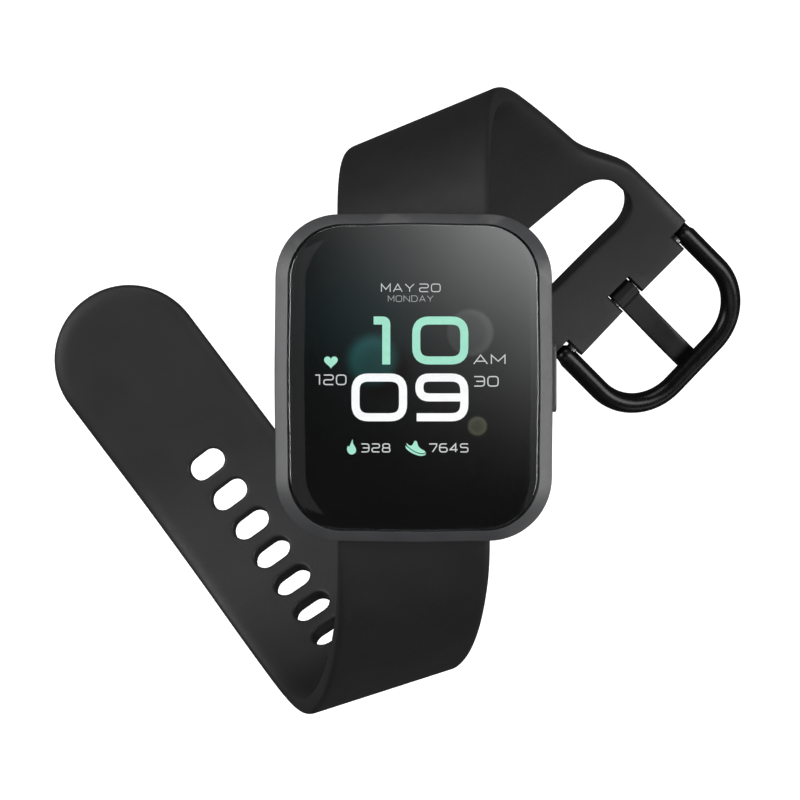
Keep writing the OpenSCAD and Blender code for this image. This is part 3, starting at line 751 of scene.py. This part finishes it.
def strap_cutters():
    """At each end of the case: the strap's recess, the spring bar's holes, and room for its knob to swing."""
    cutters = []
    for side in (-1, 1):
        recess = sorted((side * RECESS_Y, side * 25))
        cutters.append(box_solid((-RECESS_X, RECESS_X), recess, (-1, RECESS_TOP)))
        ends = [(x, side * PIN_Y, PIN_Z) for x in (-PIN_HOLE_X, PIN_HOLE_X)]
        cutters.append(rod_solid(*ends, PIN_HOLE_R))
        swing = sorted((side * (RECESS_Y - 0.5), side * (RECESS_Y + 0.1)))
        cutters.append(box_solid((KNOB_X - 2.7, KNOB_X + 1.2), swing, (1, 2.1)))
    return cutters


def on_shaft(span, radius):
    """A cylinder on the button's axis between two values of X."""
    return rod_solid((span[0], 0, BUTTON_Z), (span[1], 0, BUTTON_Z), radius)


def button_cutters():
    """The button's pocket, the bore of its shaft and the groove of its seal."""
    pocket = [[(x, y, z + BUTTON_Z) for y, z in pill_outline(BUTTON_L + 0.4, BUTTON_H + 0.4)]
              for x in (CASE_W / 2 - 0.95, CASE_W / 2 + 1)]
    return [
        new_object("cutter", *loft(pocket), None, None, None),
        on_shaft((ROOM_X - 1, CASE_W / 2), SHAFT_R + 0.05),
        on_shaft(SEAL_X, SEAL_R),
    ]


def glass_rings(profile):
    return [outline_ring(z, i, GLASS_W, GLASS_L, GLASS_R, 0.15) for z, i in profile]


def build_glass():
    """The glass, which slopes off gently towards its edges, and the lit display under it."""
    reach, rise = 2.5, 0.3
    side = [(GLASS_Z, 0.12), (GLASS_Z + 0.1, 0), (GLASS_TOP - 0.5, 0), (GLASS_TOP - 0.36, 0.03),
            (GLASS_TOP - 0.31, 0.1)]
    crown = [(GLASS_TOP - rise * (1 - t) ** 2, 0.17 + reach * t) for t in np.linspace(0, 1, 12)]
    glass = new_object("domed_glass", *loft(glass_rings(side + crown)), GLASS, "case", "cover_glass")
    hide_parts("cover_glass")
    sharp_by_angle(glass, 35)
    # The display's sheet reaches out over the gasket to near the glass's edge, so that its painted reflection
    # of a softbox covers the whole glass
    panel = [(SCREEN_Z, 1.85), (8.765, 1.85), (8.765, 0.25), (8.78, 0.2), (8.785, 0.24)]
    screen = new_object("display_screen", *loft(glass_rings(panel)), WALLPAPER_AND_PAINTED_REFLECTION, "case", "display")
    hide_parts("display_panel")
    sharp_by_angle(screen, 35)


def build_button():
    """The button's rounded cap, and its shaft with a waist for the clip."""
    x0 = CASE_W / 2
    dome = BUTTON_OUT - 0.3
    profile = [(x0 - 0.4, 0), (x0 + 0.3, 0)]
    profile += [(x0 + 0.3 + dome * math.sin(t), 0.45 * (1 - math.cos(t)))
                for t in np.radians(np.linspace(15, 90, 6))]
    rings = [[(x, y, z + BUTTON_Z) for y, z in pill_outline(BUTTON_L - 2 * i, BUTTON_H - 2 * i)]
             for x, i in profile]
    cap = new_object("button_cap", *loft(rings), BUTTON, "button", "button_plastic")
    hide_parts("side_button")
    cut(cap, [on_shaft((SHAFT_X, x0 - 0.3), SHAFT_R)], "UNION")
    waist = on_shaft(CLIP_X, 2)
    cut(waist, [on_shaft((15, 16), CLIP_R)])
    cut(cap, [waist])
    sharp_by_angle(cap, 40)


# ---------------------------------------------------------------- dial marks

# Bottom and top of the marks, which lie on the display
MARK_Z = (8.79, 8.815)


def ribbon(points, width, closed=False):
    """Left and right edges of a stroke of even width along points."""
    pts = np.asarray(points, float)
    left, right = [], []
    n = len(pts)
    for i in range(n):
        before = pts[i] - pts[i - 1] if i or closed else pts[1] - pts[0]
        after = pts[(i + 1) % n] - pts[i] if i < n - 1 or closed else pts[-1] - pts[-2]
        before, after = before / np.linalg.norm(before), after / np.linalg.norm(after)
        tangent = before + after
        tangent /= np.linalg.norm(tangent)
        normal = np.array([-tangent[1], tangent[0]])
        reach = width / 2 / max(0.35, float(normal @ np.array([-before[1], before[0]])))
        left.append(pts[i] + reach * normal)
        right.append(pts[i] - reach * normal)
    return left, right


def add_plate(verts, faces, loops_left, loops_right, closed):
    """A thin solid between two edges."""
    base, n = len(verts), len(loops_left)
    for z in MARK_Z:
        verts += [(x, y, z) for x, y in loops_left] + [(x, y, z) for x, y in loops_right]
    for i in range(n if closed else n - 1):
        j = (i + 1) % n
        a, b, c, d = base + i, base + j, base + n + j, base + n + i
        up = 2 * n
        faces += [(a, b, c, d), (a + up, d + up, c + up, b + up)]
        faces += [(a, a + up, b + up, b), (d, c, c + up, d + up)]
    if not closed:
        for i in (0, n - 1):
            faces.append((base + i, base + n + i, base + 3 * n + i, base + 2 * n + i))


def rounded_path(points, radius, closed=False, steps=6):
    """The path with its corners rounded."""
    pts = [np.array(q, float) for q in points]
    out = []
    n = len(pts)
    for i, q in enumerate(pts):
        if not closed and i in (0, n - 1):
            out.append(q)
            continue
        a, b = pts[i - 1] - q, pts[(i + 1) % n] - q
        la, lb = np.linalg.norm(a), np.linalg.norm(b)
        r = min(radius, la / 2.001, lb / 2.001)
        start, end = q + a / la * r, q + b / lb * r
        for k in range(steps + 1):
            t = k / steps
            out.append((1 - t) ** 2 * start + 2 * t * (1 - t) * q + t * t * end)
    return out


# Wide strokes in a box 1 unit wide and 1 high: (points, closed)
GLYPHS = {
    "0": [([(0, 0), (1, 0), (1, 1), (0, 1)], True)],
    "1": [([(0.25, 1), (0.75, 1), (0.75, 0)], False)],
    "2": [([(0, 1), (1, 1), (1, 0.5), (0, 0.5), (0, 0), (1, 0)], False)],
    "3": [([(0, 1), (1, 1), (1, 0), (0, 0)], False), ([(0.2, 0.5), (1, 0.5)], False)],
    "4": [([(0.75, 0), (0.75, 1), (0, 0.28), (1, 0.28)], False)],
    "5": [([(1, 1), (0, 1), (0, 0.55), (1, 0.55), (1, 0), (0, 0)], False)],
    "6": [([(0.95, 1), (0, 1), (0, 0), (1, 0), (1, 0.55), (0, 0.55)], False)],
    "7": [([(0, 1), (1, 1), (1, 0.75), (0.45, 0)], False)],
    "8": [([(0, 0), (1, 0), (1, 0.5), (0, 0.5)], True),
          ([(0.05, 0.5), (0.95, 0.5), (0.95, 1), (0.05, 1)], True)],
    "9": [([(1, 0.5), (0, 0.5), (0, 1), (1, 1), (1, 0), (0.03, 0)], False)],
    "A": [([(0, 0), (0.5, 1), (1, 0)], False), ([(0.2, 0.3), (0.8, 0.3)], False)],
    "M": [([(0, 0), (0, 1), (0.5, 0.3), (1, 1), (1, 0)], False)],
    "Y": [([(0, 1), (0.5, 0.45), (1, 1)], False), ([(0.5, 0.45), (0.5, 0)], False)],
    "O": [([(0, 0), (1, 0), (1, 1), (0, 1)], True)],
    "N": [([(0, 0), (0, 1), (1, 0), (1, 1)], False)],
    "D": [([(0, 0), (0.7, 0), (1, 0.3), (1, 0.7), (0.7, 1), (0, 1)], True)],
}


def dial_text(name, text, left, bottom, width, height, stroke, material, gap=0.28, radius=0.3):
    """Numbers or letters whose whole line fills the given width."""
    verts, faces = [], []
    cells = [0.55 if c == "1" else 0 if c == " " else 1 for c in text]
    cell = width / (sum(cells) + gap * (len(text) - 1))
    x = left
    for char, share in zip(text, cells):
        size = (cell * (1 if char != "1" else 0.9) - stroke, height - stroke)
        shift = -0.25 * cell if char == "1" else 0
        for points, closed in GLYPHS.get(char, []):
            path = [(x + shift + stroke / 2 + a * size[0], bottom + stroke / 2 + b * size[1])
                    for a, b in points]
            if char in "0O235689":
                path = rounded_path(path, radius * height, closed)
            add_plate(verts, faces, *ribbon(path, stroke, closed), closed)
        x += cell * share + gap * cell
    new_object(name, verts, faces, material, "case", "display", smooth_shade=False)


def big_digits(name, digits, bottom, top, stroke, material):
    """Large numbers, each given as (character, left, right)."""
    verts, faces = [], []
    for char, left, right in digits:
        reach = [point[0] for points, closed in GLYPHS[char] for point in points]
        low, wide = min(reach), max(reach) - min(reach)
        for points, closed in GLYPHS[char]:
            path = [(left + stroke / 2 + (a - low) / wide * (right - left - stroke),
                     bottom + stroke / 2 + b * (top - bottom - stroke)) for a, b in points]
            if not closed:
                for end, before in ((0, 1), (-1, -2)):
                    along = np.subtract(path[end], path[before])
                    path[end] = tuple(path[end] + along / np.linalg.norm(along) * stroke / 2)
            path = rounded_path(path, 0.5 if char == "1" else 1.7, closed)
            add_plate(verts, faces, *ribbon(path, stroke, closed), closed)
    new_object(name, verts, faces, material, "case", "display", smooth_shade=False)


def filled_mark(name, outline, material):
    """A filled flat shape."""
    n = len(outline)
    verts = [(x, y, z) for z in MARK_Z for x, y in outline]
    faces = [tuple(range(n))[::-1], tuple(range(n, 2 * n))]
    faces += [(i, (i + 1) % n, n + (i + 1) % n, n + i) for i in range(n)]
    new_object(name, verts, faces, material, "case", "display", smooth_shade=False)


def heart(cx, cy, w):
    """Points round a heart of width w."""
    k = w / 32
    ts = np.linspace(0, 2 * math.pi, 48, endpoint=False)
    return [(cx + k * 16 * math.sin(t) ** 3,
             cy + k * (13 * math.cos(t) - 5 * math.cos(2 * t) - 2 * math.cos(3 * t) - math.cos(4 * t)))
            for t in ts]


def smooth_loop(points, steps=5):
    """A closed curve through the points."""
    pts = np.asarray(points, float)
    n = len(pts)
    out = []
    for i in range(n):
        a, b, c, d = pts[i - 1], pts[i], pts[(i + 1) % n], pts[(i + 2) % n]
        for k in range(steps):
            t = k / steps
            out.append(tuple(0.5 * (2 * b + (c - a) * t + (2 * a - 5 * b + 4 * c - d) * t * t
                                    + (3 * b - a - 3 * c + d) * t ** 3)))
    return out


def build_dial():
    """The lit date, time and readings, with a heart, a flame and a shoe."""
    dial_text("mark_month_day", "MAY 20", -4.3, 11.25, 7.85, 1.12, 0.115, GREY, 0.24)
    dial_text("mark_weekday", "MONDAY", -3.4, 9.97, 6.0, 0.84, 0.085, FAINT, 0.22)
    big_digits("mark_hour", (("1", -5.27, -3.08), ("0", -0.19, 7.20)), 1.72, 8.04, 1.06, MINT)
    big_digits("mark_minute", (("0", -8.19, -0.87), ("9", 0.22, 7.20)), -5.76, 0.53, 1.06, WHITE)
    dial_text("mark_half", "AM", 7.85, 1.73, 4.25, 1.3, 0.14, GREY, 0.2)
    dial_text("mark_second", "30", 7.9, -1.2, 3.3, 1.4, 0.15, GREY, 0.2)
    dial_text("mark_pulse", "120", -12.95, -1.0, 4.1, 1.4, 0.15, GREY, 0.2)
    dial_text("mark_burned", "328", -6.95, -9.87, 3.9, 1.2, 0.15, GREY, 0.22)
    dial_text("mark_steps", "7645", 1.97, -9.87, 5.25, 1.2, 0.15, GREY, 0.22)
    filled_mark("mark_heart", heart(-10.9, 2.1, 1.8), MINT)
    flame = [(-8.15, -10.15), (-8.62, -9.9), (-8.78, -9.45), (-8.66, -9.0), (-8.5, -9.12), (-8.32, -8.75),
             (-8.05, -8.15), (-8.0, -8.6), (-7.8, -9.0), (-7.6, -9.4), (-7.65, -9.85)]
    filled_mark("mark_flame", smooth_loop(flame), MINT)
    shoe = [(-0.92, -8.62), (-0.6, -8.92), (-0.2, -8.9), (0.12, -8.36), (0.42, -8.44), (0.6, -9.0),
            (0.95, -9.38), (1.42, -9.66), (1.56, -9.86), (1.2, -9.98), (0.5, -9.86), (-0.2, -9.5),
            (-0.8, -9.02)]
    filled_mark("mark_shoe", smooth_loop(shoe), MINT)
    sole = [(-1.06, -8.95), (-0.85, -9.15), (-0.2, -9.62), (0.5, -9.98), (1.2, -10.1), (1.62, -9.98),
            (1.45, -10.22), (0.9, -10.32), (0.2, -10.14), (-0.5, -9.78), (-0.98, -9.35)]
    filled_mark("mark_shoe_sole", smooth_loop(sole), MINT)


# ---------------------------------------------------------------- buckle

def buckle_axes():
    """Origin at the buckle's pin, and its axes: along the pin, towards the far bar, outwards."""
    o, x, y, z = strap_frame(UPPER, UPPER["length"] - PIN_INSET)
    c, s = math.cos(math.radians(BUCKLE_TILT)), math.sin(math.radians(BUCKLE_TILT))
    return o, x, y * c + z * s, z * c - y * s


def to_buckle(points):
    """Points given along the buckle's axes, in the model's frame."""
    o, x, y, z = buckle_axes()
    return [o + a * x + b * y + c * z for a, b, c in points]


def build_buckle_frame():
    """The U of round rod, with domed ends and a bore through each arm for the pin."""
    r = WIRE_D / 2
    arm_x = SHOULDER_W / 2 - r
    rail = [(arm_x, y) for y in np.linspace(0, BUCKLE_L - BUCKLE_CORNER, 8)[:-1]]
    rail += [(arm_x - BUCKLE_CORNER * (1 - math.cos(t)), BUCKLE_L - BUCKLE_CORNER * (1 - math.sin(t)))
             for t in np.radians(np.linspace(0, 90, 25))]
    rail += [(-x, y) for x, y in rail[::-1]]
    tangents = np.gradient(np.array(rail), axis=0)
    tangents /= np.linalg.norm(tangents, axis=1)[:, None]
    circle = np.linspace(0, 2 * math.pi, 32, endpoint=False)

    def ring(at, tangent, radius):
        side = np.array([-tangent[1], tangent[0]])
        return [(at[0] + radius * math.cos(t) * side[0], at[1] + radius * math.cos(t) * side[1],
                 radius * math.sin(t)) for t in circle]

    dome = np.radians(np.linspace(8, 90, 8))
    rings = [ring(np.array(rail[0]) - tangents[0] * r * math.cos(t), tangents[0], r * math.sin(t))
             for t in dome[:-1]]
    rings += [ring(at, tangent, r) for at, tangent in zip(rail, tangents)]
    rings += [ring(np.array(rail[-1]) + tangents[-1] * r * math.cos(t), tangents[-1], r * math.sin(t))
              for t in dome[:-1][::-1]]
    verts, faces = loft(rings)
    wire = new_object("buckle_wire", to_buckle(verts), faces, BUCKLE, "buckle", "buckle_steel")
    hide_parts("buckle_frame")
    a, b = to_buckle([(-13, 0, 0), (13, 0, 0)])
    cut(wire, [rod_solid(a, b, BUCKLE_PIN_R, 48)])
    sharp_by_angle(wire, 50)


def tongue_z(y):
    """Height of the tongue's underside over the pin's axis: a slope with an arch on it."""
    return 0.35 + 1.15 * float(smooth(y, 0, 14)) + 0.75 * math.sin(math.pi * min(1, max(0, y / 15)))


def build_tongue():
    """The tongue: a rolled hub round the pin and an arched plate that ends over the far bar."""
    half, thick, soft, nose = 1.575, 0.85, 0.3, 0.5
    section = rounded_outline(2 * half, thick, soft, 0, 5, 6)
    rings = []
    start = BUCKLE_L + 1.1 - nose
    along = [*np.linspace(0.2, start, 40), *(start + nose * np.sin(np.radians((30, 60, 85))))]
    for y in along:
        squeeze = math.sqrt(max(0.02, 1 - max(0, (y - start) / nose) ** 2))
        middle = tongue_z(y) + thick / 2
        rings.append([(a * (0.75 + 0.25 * squeeze), y, middle + b * squeeze) for a, b in section])
    verts, faces = loft(rings)
    plate = new_object("tongue_plate", to_buckle(verts), faces, TONGUE_PAINTED_LIGHTER, "tongue", "buckle_steel")
    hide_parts("buckle_tongue")
    profile = [(1.35, -1.65), (1.5, -1.5), (1.5, 1.5), (1.35, 1.65)]
    circle = np.linspace(0, 2 * math.pi, 56, endpoint=False)
    hub = loft([[(x, r * math.cos(t), r * math.sin(t)) for t in circle] for r, x in profile])
    cut(plate, [new_object("cutter", to_buckle(hub[0]), hub[1], None, None, None)], "UNION")
    a, b = to_buckle([(-3, 0, 0), (3, 0, 0)])
    cut(plate, [rod_solid(a, b, BUCKLE_PIN_R, 48)])
    sharp_by_angle(plate, 40)


# ---------------------------------------------------------------- stage

def area_light(name, at, size, energy):
    """A white soft light aimed at the watch, which cameras don't see."""
    target = (0, 0, -0.02)
    data = bpy.data.lights.new(name, "AREA")
    data.shape, data.size, data.size_y = "RECTANGLE", size[0], size[1]
    data.energy = energy
    lamp = bpy.data.objects.new(name, data)
    lamp.location = at
    lamp.visible_camera = False
    lamp.rotation_euler = (Vector(target) - Vector(at)).to_track_quat("-Z", "Y").to_euler()
    bpy.context.scene.collection.objects.link(lamp)


def build_floor():
    """A plain white floor, low enough to clear the watch in every pose. It casts no light on the watch."""
    half, z = 60.0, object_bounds()[0][2] - 0.03
    corners = [(-half, -half, z), (half, -half, z), (half, half, z), (-half, half, z)]
    mesh = bpy.data.meshes.new("floor")
    mesh.from_pydata(corners, [], [(0, 1, 2, 3)])
    floor = bpy.data.objects.new("floor", mesh)
    bpy.context.scene.collection.objects.link(floor)
    paper = finish("floor_paper", (0.5, 0.5, 0.5), (0.52, 0.52, 0.52), (0.8, 0.9), 400, (0.02, 0.0001),
                   patches=3, specular=0.1)
    shader = paper.node_tree.nodes["Principled BSDF"]
    shader.inputs["Emission Color"].default_value = (1, 1, 1, 1)
    shader.inputs["Emission Strength"].default_value = 0.92
    mesh.materials.append(paper)
    floor.visible_glossy = floor.visible_diffuse = False


def build_world():
    """White where a camera sees it, and dim as light and in reflections."""
    dim = 0.07
    world = bpy.data.worlds.new("studio")
    bpy.context.scene.world = world
    world.use_nodes = True
    nodes, links = world.node_tree.nodes, world.node_tree.links
    nodes["Background"].inputs["Color"].default_value = (1, 1, 1, 1)
    seen = nodes.new("ShaderNodeLightPath").outputs["Is Camera Ray"]
    strength = maths(nodes, links, "ADD", maths(nodes, links, "MULTIPLY", seen, 1 - dim), dim)
    links.new(strength, nodes["Background"].inputs["Strength"])


def build_lights():
    area_light("left_softbox", (-0.75, 0.1, 0.45), (0.4, 0.72), 5.6)
    area_light("right_softbox", (0.75, -0.05, 0.45), (0.4, 0.72), 5.6)
    area_light("left_card", (-0.55, 0.0, 0.95), (0.6, 0.9), 0.6)
    area_light("rim_softbox", (0.7, -0.7, 0.06), (0.9, 0.3), 1.3)
    area_light("top_softbox", (-0.1, 0.8, 0.6), (0.9, 0.3), 3.2)
    area_light("front_softbox", (0.1, -0.7, 0.8), (0.9, 0.3), 1.0)


def build_camera():
    """Straight down on the dial, from far enough to be almost without perspective."""
    distance, field, sensor = 4.5, 0.1056, 36
    data = bpy.data.cameras.new("camera")
    data.sensor_width = sensor
    data.lens = sensor * distance / field
    data.clip_start, data.clip_end = 0.05, 50
    camera = bpy.data.objects.new("camera", data)
    camera.location = (-1.80 * MM, -2.96 * MM, distance)
    bpy.context.scene.collection.objects.link(camera)
    bpy.context.scene.camera = camera


build_camera()
dress_cad_nodes()
build_straps()
build_case()
build_glass()
build_dial()
build_button()
build_buckle_frame()
build_tongue()
build_floor()
build_world()
build_lights()
bpy.context.scene.view_settings.view_transform = "Standard"
